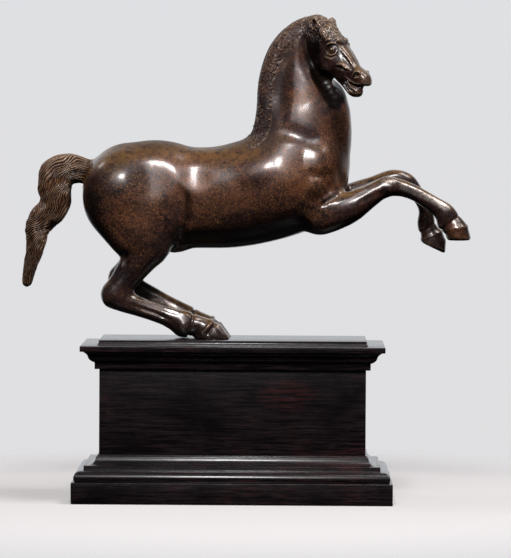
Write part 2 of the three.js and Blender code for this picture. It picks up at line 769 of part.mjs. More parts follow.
// Thinning: the edge whose loss moves the surface least goes first, weighed by how
// much its place matters, until the wanted number of triangles is left.
function thinOut({ points, faces }, wanted, weightAt) {
  const quadrics = points.map(() => new Float64Array(10));
  const around = points.map(() => new Set());
  const alive = faces.map(() => true);
  const normalOf = (a, b, c) => {
    const u = [b[0] - a[0], b[1] - a[1], b[2] - a[2]];
    const v = [c[0] - a[0], c[1] - a[1], c[2] - a[2]];
    return [u[1] * v[2] - u[2] * v[1], u[2] * v[0] - u[0] * v[2], u[0] * v[1] - u[1] * v[0]];
  };
  faces.forEach((face, f) => {
    const [a, b, c] = face.map((v) => points[v]);
    const n = normalOf(a, b, c);
    const area = Math.hypot(...n) || 1e-12;
    const [x, y, z] = n.map((value) => value / area);
    const w = -(x * a[0] + y * a[1] + z * a[2]);
    const plane = [x * x, x * y, x * z, x * w, y * y, y * z, y * w, z * z, z * w, w * w];
    const scale = area * weightAt(a);
    for (const v of face) {
      around[v].add(f);
      for (let i = 0; i < 10; i++) quadrics[v][i] += plane[i] * scale;
    }
  });
  const errorAt = (q, [x, y, z]) =>
    q[0] * x * x + 2 * q[1] * x * y + 2 * q[2] * x * z + 2 * q[3] * x + q[4] * y * y +
    2 * q[5] * y * z + 2 * q[6] * y + q[7] * z * z + 2 * q[8] * z + q[9];
  const bestPlace = (q, a, b) => {
    const middle = [0, 1, 2].map((axis) => (points[a][axis] + points[b][axis]) / 2);
    const size = q[0] + q[4] + q[7];
    const soft = size * 2e-3;
    const m = new THREE.Matrix3().set(q[0] + soft, q[1], q[2], q[1], q[4] + soft, q[5], q[2], q[5], q[7] + soft);
    const right = new THREE.Vector3(
      soft * middle[0] - q[3],
      soft * middle[1] - q[6],
      soft * middle[2] - q[8],
    );
    if (Math.abs(m.determinant()) < 1e-14 * size ** 3) return middle;
    const place = right.applyMatrix3(m.invert()).toArray();
    return gap(place, middle) > 2 * gap(points[a], points[b]) ? middle : place;
  };

  const heap = [];
  const push = (item) => {
    heap.push(item);
    let i = heap.length - 1;
    while (i > 0) {
      const up = (i - 1) >> 1;
      if (heap[up].cost <= heap[i].cost) break;
      [heap[up], heap[i]] = [heap[i], heap[up]];
      i = up;
    }
  };
  const pop = () => {
    const top = heap[0];
    const end = heap.pop();
    if (!heap.length) return top;
    heap[0] = end;
    for (let i = 0; ; ) {
      let least = i;
      for (const down of [2 * i + 1, 2 * i + 2])
        if (down < heap.length && heap[down].cost < heap[least].cost) least = down;
      if (least === i) return top;
      [heap[least], heap[i]] = [heap[i], heap[least]];
      i = least;
    }
  };
  const age = new Int32Array(points.length);
  const offer = (a, b) => {
    const q = quadrics[a].map((value, i) => value + quadrics[b][i]);
    const place = bestPlace(q, a, b);
    const stretch = 2e-4 * gap(points[a], points[b]) ** 4 * weightAt(place);
    push({ cost: Math.max(errorAt(q, place), 0) + stretch, a, b, place, ageA: age[a], ageB: age[b] });
  };
  const neighbours = (v) => {
    const near = new Set();
    for (const f of around[v]) for (const u of faces[f]) if (u !== v) near.add(u);
    return near;
  };
  points.forEach((_, a) => {
    for (const b of neighbours(a)) if (a < b) offer(a, b);
  });

  const turnsOver = (v, other, place) => {
    for (const f of around[v]) {
      if (faces[f].includes(other)) continue;
      const before = faces[f].map((u) => points[u]);
      const after = faces[f].map((u) => (u === v ? place : points[u]));
      const m = normalOf(...before);
      const n = normalOf(...after);
      const size = Math.hypot(...m) * Math.hypot(...n);
      if (m[0] * n[0] + m[1] * n[1] + m[2] * n[2] < 0.25 * size) return true;
      const longest = Math.max(gap(after[0], after[1]), gap(after[1], after[2]), gap(after[2], after[0]));
      if (Math.hypot(...n) < 0.12 * longest * longest) return true;
    }
    return false;
  };

  let left = faces.length;
  while (left > wanted && heap.length) {
    const { a, b, place, ageA, ageB } = pop();
    if (age[a] !== ageA || age[b] !== ageB || !around[a].size || !around[b].size) continue;
    const near = neighbours(a);
    const shared = [...neighbours(b)].filter((v) => near.has(v));
    if (shared.length !== 2 || turnsOver(a, b, place) || turnsOver(b, a, place)) continue;
    points[a] = place;
    quadrics[a] = quadrics[a].map((value, i) => value + quadrics[b][i]);
    for (const f of around[b]) {
      if (faces[f].includes(a)) {
        alive[f] = false;
        for (const v of faces[f]) if (v !== b) around[v].delete(f);
        left--;
      } else {
        faces[f] = faces[f].map((v) => (v === b ? a : v));
        around[a].add(f);
      }
    }
    around[b].clear();
    age[b]++;
    age[a]++;
    for (const v of neighbours(a)) offer(a, v);
  }
  return { points, faces: faces.filter((_, f) => alive[f]) };
}

function geometryFrom({ points, faces }) {
  const geometry = new THREE.BufferGeometry();
  geometry.setAttribute("position", new THREE.Float32BufferAttribute(points.flat(), 3));
  geometry.setIndex(faces.flat());
  return geometry;
}

// Cuts the soles flat where they stand on the plinth.
function trimSoles(geometry) {
  const depth = 20;
  const floor = new THREE.BoxGeometry(400, 200, depth).translate(0, 0, -depth / 2);
  const trimmed = geometryOf(solidOf(geometry).subtract(solidOf(floor)));
  const position = trimmed.attributes.position;
  for (let i = 0; i < position.count; i++) if (position.getZ(i) < 2e-3) position.setZ(i, 0);
  return trimmed;
}

// Where two folds of the skin touch, draws each towards its own neighbours, so that
// a small gap parts them.
function partFolds(geometry) {
  const { position } = geometry.attributes;
  const index = geometry.index.array;
  const folds = new Map();
  for (let i = 0; i < position.count; i++) {
    const key = [position.getX(i), position.getY(i), position.getZ(i)].join();
    folds.set(key, [...(folds.get(key) || []), i]);
  }
  const place = (i) => new THREE.Vector3().fromBufferAttribute(position, i);
  const moves = [];
  for (const shared of folds.values()) {
    if (shared.length < 2) continue;
    for (const i of shared) {
      const pull = new THREE.Vector3();
      for (let k = 0; k < index.length; k++) {
        if (index[k] !== i) continue;
        const face = k - (k % 3);
        for (let corner = 0; corner < 3; corner++)
          pull.add(place(index[face + corner]).sub(place(i)).clampLength(0, 1));
      }
      moves.push([i, pull.setLength(foldGap)]);
    }
  }
  for (const [i, pull] of moves) position.setXYZ(i, ...place(i).add(pull).toArray());
  return geometry;
}

// The head, hooves and hair keep more of their triangles than the smooth trunk.
function weightAt([x, , z]) {
  if (z > 175 && x > 54) return 7;
  if (x < -104) return 2;
  if (z > 140 && x < 36 + 0.2 * (z - 140)) return 3.5;
  if (z < 30 || x > 130) return 2;
  return 0.8;
}

function horseGeometry() {
  const steps = [
    ...trunkSteps(),
    ...hindLegSteps(-1, 0, 0),
    ...hindLegSteps(1, farHockLift, farHockShift),
    ...nearForelegSteps(),
    ...farForelegSteps(),
    ...headSteps(),
    ...maneSteps(),
    ...forelockSteps(),
    ...tailSteps(),
  ];
  const skin = skinOf(steps, [-158, -38, -6], [180, 38, 240], meshStep);
  settle(skin, steps, meshStep / 2);
  const cast = geometryFrom(thinOut(skin, horseTriangles, weightAt));
  return partFolds(trimSoles(cast.rotateY(-tip).translate(0, 0, -sinkage)));
}

// Assembly

function piece(name, geometry, finish) {
  const mesh = new THREE.Mesh(geometry, new THREE.MeshStandardMaterial(finish));
  mesh.name = name;
  return mesh;
}

function plinth() {
  const group = new THREE.Group();
  const mouldingBottom = footHeight;
  const dieBottom = mouldingBottom + baseMouldingHeight;
  const corniceBottom = dieBottom + dieHeight;
  const panelBottom = corniceBottom + corniceHeight;
  const boards = [
    ["plinth_foot", plainBoard(footReach, footHeight, 0)],
    ["plinth_base_moulding", mouldedBoard(baseMouldingProfile(), mouldingBottom)],
    ["plinth_die", plainBoard(0, dieHeight, dieBottom)],
    ["plinth_cornice", mouldedBoard(corniceProfile(), corniceBottom)],
    ["plinth_top_panel", mouldedBoard(panelProfile(), panelBottom)],
  ];
  for (const [name, geometry] of boards) group.add(piece(name, geometry, ebonisedWood));
  return group;
}

function horse() {
  const group = new THREE.Group();
  group.add(piece("horse", horseGeometry(), bronze));
  group.position.set(standX, 0, plinthHeight);
  return group;
}

const statuette = new THREE.Group();
statuette.add(plinth(), horse());

export default statuette;
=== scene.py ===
import math
import random

import bpy
import numpy as np
from mathutils import Matrix, Vector
from mathutils.bvhtree import BVHTree
from mathutils.kdtree import KDTree


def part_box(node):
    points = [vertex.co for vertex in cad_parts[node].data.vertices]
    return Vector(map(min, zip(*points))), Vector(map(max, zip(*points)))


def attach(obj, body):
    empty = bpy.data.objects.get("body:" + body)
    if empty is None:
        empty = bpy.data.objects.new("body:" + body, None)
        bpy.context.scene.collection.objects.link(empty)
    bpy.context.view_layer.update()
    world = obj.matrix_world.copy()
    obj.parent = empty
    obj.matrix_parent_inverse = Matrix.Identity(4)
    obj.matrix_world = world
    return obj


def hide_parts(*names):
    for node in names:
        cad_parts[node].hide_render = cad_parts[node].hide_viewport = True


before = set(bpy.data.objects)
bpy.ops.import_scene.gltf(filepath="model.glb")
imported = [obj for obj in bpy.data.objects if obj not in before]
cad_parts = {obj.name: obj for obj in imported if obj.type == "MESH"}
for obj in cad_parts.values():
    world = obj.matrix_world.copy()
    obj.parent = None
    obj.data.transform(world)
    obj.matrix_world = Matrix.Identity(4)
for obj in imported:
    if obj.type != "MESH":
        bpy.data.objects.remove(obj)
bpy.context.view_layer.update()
mm = 0.001
random.seed(7)
print("frame loaded")

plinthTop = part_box("plinth_top_panel")[1].z


# Small helpers for modelling

def deselectAll():
    for thing in bpy.context.selected_objects:
        thing.select_set(False)


def activate(thing):
    deselectAll()
    thing.select_set(True)
    bpy.context.view_layer.objects.active = thing


def copyOfNode(node, name):
    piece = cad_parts[node].copy()
    piece.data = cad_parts[node].data.copy()
    piece.name = piece.data.name = name
    piece.parent = None
    piece.data.materials.clear()
    for key in list(piece.keys()):
        del piece[key]
    bpy.context.scene.collection.objects.link(piece)
    activate(piece)
    bpy.ops.object.mode_set(mode="EDIT")
    bpy.ops.mesh.select_all(action="SELECT")
    bpy.ops.mesh.remove_doubles(threshold=0.00001)  # the node's triangles are loose
    bpy.ops.object.mode_set(mode="OBJECT")
    return piece


def applyModifier(piece, kind, **settings):
    activate(piece)
    modifier = piece.modifiers.new(kind.title(), kind)
    for key, value in settings.items():
        setattr(modifier, key, value)
    bpy.ops.object.modifier_apply(modifier=modifier.name)


def triangles(piece):
    piece.data.calc_loop_triangles()
    return len(piece.data.loop_triangles)


# Shader maths on wrapped sockets

class Wire:
    def __init__(self, tree, socket):
        self.tree = tree
        self.socket = socket

    def node(self, kind, settings=None, out=0, **values):
        made = self.tree.nodes.new(kind)
        for key, value in (settings or {}).items():
            setattr(made, key, value)
        for key, value in values.items():
            index = int(key[1:]) if key[0] == "i" and key[1:].isdigit() else key.replace("_", " ")
            plug(made.inputs[index], value)
        return Wire(self.tree, made.outputs[out])

    def maths(self, operation, a, b):
        return self.node("ShaderNodeMath", {"operation": operation}, i0=a, i1=b)

    def __add__(self, other):
        return self.maths("ADD", self, other)

    def __mul__(self, other):
        return self.maths("MULTIPLY", self, other)

    def __radd__(self, other):
        return self.maths("ADD", other, self)

    def __rsub__(self, other):
        return self.maths("SUBTRACT", other, self)

    def __rmul__(self, other):
        return self.maths("MULTIPLY", other, self)

    def between(self, low, high, fromValue=0.0, toValue=1.0):
        return self.node("ShaderNodeMapRange", {"interpolation_type": "SMOOTHSTEP"},
                         Value=self, From_Min=low, From_Max=high, To_Min=fromValue, To_Max=toValue)

    def noise(self, scale, detail, roughness, distortion=0.0):
        return self.node("ShaderNodeTexNoise", {}, Vector=self, Scale=scale,
                         Detail=detail, Roughness=roughness, Distortion=distortion)

    def mark(self, name):
        return self.node("ShaderNodeAttribute", {"attribute_name": name}, 2)

    def corners(self, distance):
        return self.node("ShaderNodeAmbientOcclusion", {"samples": 6}, 1, Distance=distance)

    def mixed(self, factor, a, b):
        mix = self.tree.nodes.new("ShaderNodeMix")
        mix.data_type = "RGBA"
        for socket, value in zip((mix.inputs[0], mix.inputs[6], mix.inputs[7]), (factor, a, b)):
            plug(socket, value)
        return Wire(self.tree, mix.outputs[2])


def plug(socket, value):
    if isinstance(value, Wire):
        value.tree.links.new(value.socket, socket)
    else:
        socket.default_value = value


def newMaterial(name):
    material = bpy.data.materials.new(name)
    material.use_nodes = True
    tree = material.node_tree
    place = Wire(tree, tree.nodes.new("ShaderNodeTexCoord").outputs["Object"])
    return material, tree.nodes["Principled BSDF"], place


def feed(shader, **values):
    for key, value in values.items():
        plug(shader.inputs[key.replace("_", " ")], value)


def blended(masks, shares):
    parts = [masks[name] * share for name, share in shares.items()]
    total = parts[0]
    for part in parts[1:]:
        total = total + part
    return total


def coated(base, finish, name, mask, where=None):
    colour, share, *fades = finish["coats"][name]
    shown = share * (mask.between(*fades) if fades else mask)
    if where is not None:
        shown = shown * where
    return base.mixed(shown, base, finish[colour])


# Bronze. A noise is its scale, detail, roughness and distortion. A coat is its colour, how much of it
# shows, and the values of its mask that it fades in between, if any

bronze = {
    "deep": (0.0045, 0.0026, 0.0024, 1),
    "brown": (0.064, 0.0305, 0.0275, 1),
    "warm": (0.190, 0.070, 0.0370, 1),
    "gold": (0.36, 0.160, 0.050, 1),
    "ochre": (0.25, 0.120, 0.026, 1),
    "rubbed": (0.42, 0.265, 0.175, 1),
    "plum": (0.030, 0.0180, 0.0190, 1),
    "amber": (0.26, 0.096, 0.034, 1),
    "rubbedMetalAndHighlight": (0.52, 0.43, 0.38, 1),
    "noises": {
        "clouds": (26, 5, 0.62, 0.4),
        "mottle": (210, 4, 0.65, 0.2),
        "grain": (1100, 3, 0.7),
        "worn": (480, 4, 0.75),
        "stains": (17, 4, 0.6, 0.6),
    },
    "blends": {
        "tone": {"clouds": 0.45, "mottle": 0.25, "grain": 0.3},
        "speckle": {"mottle": 0.3, "grain": 0.7},
        "gold": {"grain": 0.6, "worn": 0.4},
        "height": {"grain": 0.35, "mottle": 0.5, "worn": 0.3},
    },
    "coats": {
        "stains": ("plum", 0.8, 0.48, 0.62),
        "limb": ("plum", 0.75),
        "speckle": ("deep", 0.8, 0.53, 0.39),
        "gold": ("gold", 0.75),
        # upward: painted light, a warm ochre sheen on surfaces that face up
        "upward": ("ochre", 0.8, 0.3, 0.9),
        "hair": ("plum", 0.55),
        "tailHair": ("ochre", 0.25),
        # ridges: rubbed wear, also a painted highlight on the ridges
        "ridges": ("rubbed", 0.75, 0.02, 0.22),
        "hollows": ("deep", 0.9, -0.02, -0.22),
        # ambient occlusion: near darkens tight recesses, dark patina there with some painted shade; the broad
        # one is painted shade in hollows such as the throat and between the legs
        "near": ("deep", 0.85, 0.8, 0.15),
        "paintedShadeBroad": ("deep", 0.85, 0.72, 0.3),
        "rub": ("amber", 1.0),
        # polish: rubbed metal with a painted highlight on the leg ridges
        "polish": ("rubbedMetalAndHighlight", 0.85),
        # shade: painted shade from the shadows table
        "shade": ("deep", 0.93),
        # painted shade on surfaces that face down, such as the belly
        "paintedShadeBelow": ("deep", 0.9, -0.24, -0.54),
    },
    "toneFades": (0.42, 0.60),
    "goldFades": (0.52, 0.60),
    "goldClouds": (0.36, 0.6),
    "goldOffLimbs": 0.65,
    "ochreMottle": (0.3, 0.6),
    "tailWorn": (0.42, 0.54),
    "shadeFades": (0.04, 0.6),
    "polishFades": (0.05, 0.7),
    "rubPatches": (0.25, 0.75, 0.46, 0.56),
    "polishPatches": (0.35, 0.65, 0.44, 0.54),
    # distances in m of the recess darkening: near for tight recesses, the broad one for painted shade
    "corners": {"near": 0.005, "paintedShadeBroad": 0.03},
    "roughness": 0.26,
    "rougher": {"mottle": 0.12, "clouds": 0.12, "gold": 0.10, "hair": 0.16,
                "tailHair": 0.09, "shade": -0.06, "limb": -0.08},
    "lacquer": 0.75,
    "lacquerRoughness": 0.16,
    "unlacquered": {"hair": 0.75, "tailHair": 0.65, "shade": 1.0},
    "metal": 0.22,
    "metalWherePolished": 0.5,
    "bump": (0.2, 0.0005),
}


def patchy(mask, worn, setting):
    least, more, low, high = setting
    return mask * (least + more * worn.between(low, high))


def bronzeMaterial():
    material, shader, place = newMaterial("brown lacquered bronze")
    masks = {name: place.noise(*setting) for name, setting in bronze["noises"].items()}
    for name in ("limb", "hair", "tailHair", "wear", "shade", "rub", "polish"):
        masks[name] = place.mark(name)
    clouds, mottle, worn = masks["clouds"], masks["mottle"], masks["worn"]
    masks["gold"] = blended(masks, bronze["blends"]["gold"]).between(*bronze["goldFades"])
    masks["shade"] = masks["shade"].between(*bronze["shadeFades"])
    masks["rub"] = patchy(masks["rub"], worn, bronze["rubPatches"])
    masks["polish"] = patchy(masks["polish"].between(*bronze["polishFades"]), worn, bronze["polishPatches"])
    facing = place.node("ShaderNodeNewGeometry", {}, 1)
    upward = facing.node("ShaderNodeSeparateXYZ", {}, 2, Vector=facing)

    tone = blended(masks, bronze["blends"]["tone"]).between(*bronze["toneFades"])
    base = place.mixed(tone, bronze["brown"], bronze["warm"])
    base = coated(base, bronze, "stains", masks["stains"])
    base = coated(base, bronze, "limb", masks["limb"])
    base = coated(base, bronze, "speckle", blended(masks, bronze["blends"]["speckle"]))
    goldPlace = clouds.between(*bronze["goldClouds"]) * (1 - bronze["goldOffLimbs"] * masks["limb"])
    base = coated(base, bronze, "gold", masks["gold"], goldPlace)
    # painted light: surfaces that face up get a warm ochre sheen
    base = coated(base, bronze, "upward", upward, mottle.between(*bronze["ochreMottle"]))
    base = coated(base, bronze, "hair", masks["hair"])
    base = coated(base, bronze, "tailHair", masks["tailHair"], worn.between(*bronze["tailWorn"]))
    base = coated(base, bronze, "ridges", masks["wear"])
    base = coated(base, bronze, "hollows", masks["wear"])
    # darkening by ambient occlusion: dark patina and painted shade in tight recesses, painted shade in broad
    # hollows
    for name, distance in bronze["corners"].items():
        base = coated(base, bronze, name, place.corners(distance))
    # rub is worn lacquer, polish is rubbed metal with a painted highlight, shade is painted shade
    for name in ("rub", "polish", "shade"):
        base = coated(base, bronze, name, masks[name])
    # painted shade on surfaces that face down
    base = coated(base, bronze, "paintedShadeBelow", upward)

    lacquer = bronze["lacquer"]
    for name, share in bronze["unlacquered"].items():
        lacquer = lacquer * (1 - share * masks[name])
    strength, distance = bronze["bump"]
    bump = place.node("ShaderNodeBump", {}, Strength=strength, Distance=distance,
                      Height=blended(masks, bronze["blends"]["height"]))
    feed(shader, Base_Color=base, Roughness=bronze["roughness"] + blended(masks, bronze["rougher"]),
         Metallic=bronze["metal"] + bronze["metalWherePolished"] * masks["polish"], Normal=bump,
         Coat_Weight=lacquer, Coat_Roughness=bronze["lacquerRoughness"], IOR=1.5)
    return material


# Ebonised wood, with the grain along the plinth

wood = {
    "black": (0.0046, 0.0034, 0.0042, 1),
    "brown": (0.0290, 0.0180, 0.0200, 1),
    "red": (0.080, 0.0170, 0.0170, 1),
    "poreSheen": (0.075, 0.052, 0.055, 1),
    "acrossGrain": (1, 22, 22),
    "grain": (34, 6, 0.65, 0.05),
    "pores": (75, 3, 0.6),
    "patches": (18, 4, 0.6, 0.5),
    "coats": {
        "redPatches": ("red", 0.55, 0.5, 0.72),
        "pores": ("black", 0.85, 0.48, 0.38),
        "darkPatches": ("black", 0.7, 0.48, 0.34),
        # light streaks along the pores: the grain's pattern with a painted sheen
        "poreSheenStreaks": ("poreSheen", 0.5, 0.58, 0.66),
        "rubbedSpot": ("red", 0.5, 0.026, 0.008),
    },
    "brownFades": (0.36, 0.66),
    "redGrain": (0.4, 0.6),
    "poreSheenPatches": (0.4, 0.6),
    "rubbedPlace": (0.039, 0, 0.1386),
    "rubbedShape": (1, 0, 1.8),
    "rubbedGrain": (0.4, 0.55),
    "roughness": 0.20,
    "rougherPatches": 0.10,
    "rougherPores": (0.46, 0.36, 0, 0.12),
    "height": {"grain": 0.5, "pores": 0.6},
    "bump": (0.2, 0.0004),
    "polish": 0.4,
    "polishRoughness": 0.16,
}


def woodMaterial():
    material, shader, place = newMaterial("ebonised wood")
    stretched = place.node("ShaderNodeMapping", {}, Vector=place, Scale=wood["acrossGrain"])
    grain = stretched.noise(*wood["grain"])
    pores = stretched.noise(*wood["pores"])
    patches = place.noise(*wood["patches"])
    base = place.mixed(grain.between(*wood["brownFades"]), wood["black"], wood["brown"])
    base = coated(base, wood, "redPatches", patches, grain.between(*wood["redGrain"]))
    base = coated(base, wood, "pores", pores)
    base = coated(base, wood, "darkPatches", patches)
    # light streaks along the pores: the grain's pattern with a painted sheen
    base = coated(base, wood, "poreSheenStreaks", pores, patches.between(*wood["poreSheenPatches"]))
    apart = place.node("ShaderNodeVectorMath", {"operation": "MULTIPLY"}, i0=place, i1=wood["rubbedShape"])
    apart = apart.node("ShaderNodeVectorMath", {"operation": "DISTANCE"}, 1, i0=apart, i1=wood["rubbedPlace"])
    base = coated(base, wood, "rubbedSpot", apart, grain.between(*wood["rubbedGrain"]))
    roughness = wood["roughness"] + wood["rougherPatches"] * patches + pores.between(*wood["rougherPores"])
    strength, distance = wood["bump"]
    bump = place.node("ShaderNodeBump", {}, Strength=strength, Distance=distance,
                      Height=blended({"grain": grain, "pores": pores}, wood["height"]))
    feed(shader, Base_Color=base, Roughness=roughness, Normal=bump,
         Coat_Weight=wood["polish"], Coat_Roughness=wood["polishRoughness"])
    return material


bronzeFinish = bronzeMaterial()
woodFinish = woodMaterial()
print("finishes made")


# Plinth boards, with softened arrises in mm

boards = {
    "plinth_foot": 0.9,
    "plinth_base_moulding": 0.5,
    "plinth_die": 0.6,
    "plinth_cornice": 0.5,
    "plinth_top_panel": 0.3,
}

# How the arrises are cut, with angles in degrees
arrises = {"segments": 3, "softenedAbove": 28, "smoothBelow": 24, "flatBelow": 1}

for node, softness in boards.items():
    board = copyOfNode(node, node + "_board")
    bpy.ops.object.mode_set(mode="EDIT")
    bpy.ops.mesh.select_all(action="SELECT")
    bpy.ops.mesh.dissolve_limited(angle_limit=math.radians(arrises["flatBelow"]))
    bpy.ops.object.mode_set(mode="OBJECT")
    applyModifier(board, "BEVEL", width=softness * mm, segments=arrises["segments"],
                  limit_method="ANGLE", angle_limit=math.radians(arrises["softenedAbove"]))
    bpy.ops.object.shade_smooth_by_angle(angle=math.radians(arrises["smoothBelow"]))
    board.data.materials.append(woodFinish)
    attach(board, "root")
    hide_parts(node)
print("plinth finished")


# Horse: its own measures, in mm from the point between the hooves on the plinth

stance = {"back": -1.6, "sunk": 1.0, "tip": 0.32, "poll": (61.2, -1.5, 218.8), "headTurn": 38}


def horsePoint(x, y, z):
    tip = math.radians(stance["tip"])
    forward = x * math.cos(tip) - z * math.sin(tip) + stance["back"]
    up = x * math.sin(tip) + z * math.cos(tip) - stance["sunk"]
    return Vector((forward * mm, y * mm, plinthTop + up * mm))


def headPoint(forward, side, up):
    turn = math.radians(stance["headTurn"])
    x, y, z = stance["poll"]
    return horsePoint(x + forward * math.cos(turn) + side * math.sin(turn),
                      y - forward * math.sin(turn) + side * math.cos(turn), z + up)


def headSide():
    return (headPoint(0, 1, 0) - headPoint(0, 0, 0)).normalized()


# Skin of the cast horse: voxels and hair depth in mm, and how often each part is smoothed
casting = {
    "voxel": 1.0,
    "bodyPasses": 70,
    "hairPasses": 14,
    "limbPasses": 6,
    "fineVoxel": 0.55,
    "finePasses": 3,
    "easing": 0.5,
    "hairDepth": 0.55,
    "triangleLimit": 195000,
}

# Where mane, head and trunk begin and end, forward and up in mm
regions = {
    "maneRises": (130, 142),
    "maneFront": (26, 0.10, 150),
    "manePoll": (34, 196, 226),
    "maneFade": 9,
    "maneEnds": (52, 60),
    "headRises": (172, 184),
    "headBack": (52, 60),
    "headLean": (0.3, 180),
    "trunkRises": (58, 76),
    "trunkBack": (-110, -100),
    "trunkFront": (66, 84),
}

# Tail: its middle line and how far the hair reaches from it in mm, and strands that thin out along it.
# A sway is its size, its rate along the tail, its turns round the tail and its phase
tail = {
    "line": [(-98, 120.8), (-107, 121.9), (-116.6, 123), (-124.5, 119.4), (-127, 109.8), (-126.6, 100),
             (-129.2, 93), (-135.6, 87.2), (-140.2, 79.2), (-140.8, 68.5), (-143.4, 58), (-145.8, 48.6),
             (-147.8, 41)],
    "behind": -85,
    "spacing": 0.5,
    "easing": 260,
    "starts": (0.02, 0.06),
    "reach": (16.5, 18.5),
    "strands": 34,
    "lowerStrands": 24,
    "thins": (0.50, 0.62),
    "twist": 2.0,
    "twists": (0.57, 0.72),
    "sways": ((0.30, 5.2, 0, 0.6), (0.13, 11, 2, 0), (0.045, 24, -3, 1.3)),
    "swell": (0.8, 0.2, 13, 5),
    "height": 1.2,
    "groove": 0.68,
}


def ramp(value, low, high):
    t = np.clip((value - low) / (high - low), 0, 1)
    return t * t * (3 - 2 * t)


def coordinates(mesh):
    co = np.empty(len(mesh.vertices) * 3)
    mesh.vertices.foreach_get("co", co)
    return co.reshape(-1, 3)


def forwardAndUp(spots):
    return spots[:, 0] / mm, (spots[:, 2] - plinthTop) / mm


def maneShare(spots):
    x, z = forwardAndUp(spots)
    front, lean, level = regions["maneFront"]
    wider, low, high = regions["manePoll"]
    inner = front + lean * (z - level) + wider * ramp(z, low, high)
    share = ramp(z, *regions["maneRises"]) * (1 - ramp(x, inner, inner + regions["maneFade"]))
    return share * (1 - ramp(x, *regions["maneEnds"]))


def headShare(spots):
    x, z = forwardAndUp(spots)
    lean, level = regions["headLean"]
    return ramp(z, *regions["headRises"]) * ramp(x + lean * (z - level), *regions["headBack"])


def trunkShare(spots):
    x, z = forwardAndUp(spots)
    body = ramp(z, *regions["trunkRises"]) * ramp(x, *regions["trunkBack"])
    return body * (1 - ramp(x, *regions["trunkFront"])) * (1 - headShare(spots))


def tailPath():
    points = [horsePoint(x, 0, z) for x, z in tail["line"]]
    path = []
    for a, b in zip(points, points[1:]):
        count = round((b - a).length / (tail["spacing"] * mm))
        path += [a.lerp(b, k / count) for k in range(count)]
    path = np.array(path + [points[-1]])
    for _ in range(tail["easing"]):
        path[1:-1] = (path[:-2] + 2 * path[1:-1] + path[2:]) / 4
    ahead = np.gradient(path, axis=0)
    return path, ahead / np.linalg.norm(ahead, axis=1)[:, None]


def alongTail(spots):
    path, ahead = tailPath()
    near = np.zeros(len(spots), dtype=int)
    close = np.nonzero(spots[:, 0] < tail["behind"] * mm)[0]
    for part in np.array_split(close, 40):  # in parts, to spare memory
        gaps = np.linalg.norm(spots[part][:, None, :] - path[None], axis=2)
        near[part] = gaps.argmin(axis=1)
    offset = spots - path[near]
    passed = (offset * ahead[near]).sum(axis=1)
    offset = offset - ahead[near] * passed[:, None]
    share = np.clip((near + passed / (tail["spacing"] * mm)) / (len(path) - 1), 0, 1)
    distance = np.linalg.norm(offset, axis=1) / mm
    cover = ramp(share, *tail["starts"]) * (1 - ramp(distance, *tail["reach"]))
    return share, offset, ahead[near], cover


def hairShare(spots):
    return np.maximum(np.maximum(maneShare(spots), headShare(spots)), alongTail(spots)[3])


def weigh(piece, name, share):
    group = piece.vertex_groups.new(name=name)
    tenths = np.round(share(coordinates(piece.data)) * 10).astype(int)
    for step in range(1, 11):
        group.add(np.nonzero(tenths == step)[0].tolist(), step / 10, "REPLACE")


def refine(piece, share, limit=0.3):
    activate(piece)
    bpy.ops.object.mode_set(mode="EDIT")
    bpy.ops.mesh.select_mode(type="FACE")
    bpy.ops.mesh.select_all(action="DESELECT")
    bpy.ops.object.mode_set(mode="OBJECT")
    centres = np.empty(len(piece.data.polygons) * 3)
    piece.data.polygons.foreach_get("center", centres)
    piece.data.polygons.foreach_set("select", share(centres.reshape(-1, 3)) > limit)
    bpy.ops.object.mode_set(mode="EDIT")
    bpy.ops.mesh.subdivide(number_cuts=1)
    bpy.ops.object.mode_set(mode="OBJECT")


def smooth(piece, passes, **where):
    applyModifier(piece, "SMOOTH", factor=casting["easing"], iterations=passes, **where)


horse = copyOfNode("horse", "horse_bronze")
applyModifier(horse, "REMESH", mode="VOXEL", voxel_size=casting["voxel"] * mm)
weigh(horse, "trunk", trunkShare)
weigh(horse, "mane", maneShare)
smooth(horse, casting["limbPasses"])
smooth(horse, casting["bodyPasses"], vertex_group="trunk")
smooth(horse, casting["hairPasses"], vertex_group="mane")
horse.vertex_groups.clear()
applyModifier(horse, "REMESH", mode="VOXEL", voxel_size=casting["fineVoxel"] * mm)
smooth(horse, casting["finePasses"])
print("horse smoothed", triangles(horse))


# Modelling tools: strokes that raise or sink the skin along lines that lie on it

brush = {
    "rayStart": 80,  # mm outside the point
    "spacing": 0.35,  # of the stroke's width
    "ends": 0.35,  # the larger, the slower a stroke rises from its ends
    "endHeight": 0.25,
    "width": (0.55, 0.45),  # the least, and how much more at full height
    "hairRoot": (0.45, 0.55),  # a strand's height at its root, and how much more towards its tip
    "hairTip": (0.35, 0.15),  # the height left at the tip, and how slowly it falls to that
    "ringEnds": 0.001,
    "markEnds": 0.01,
}


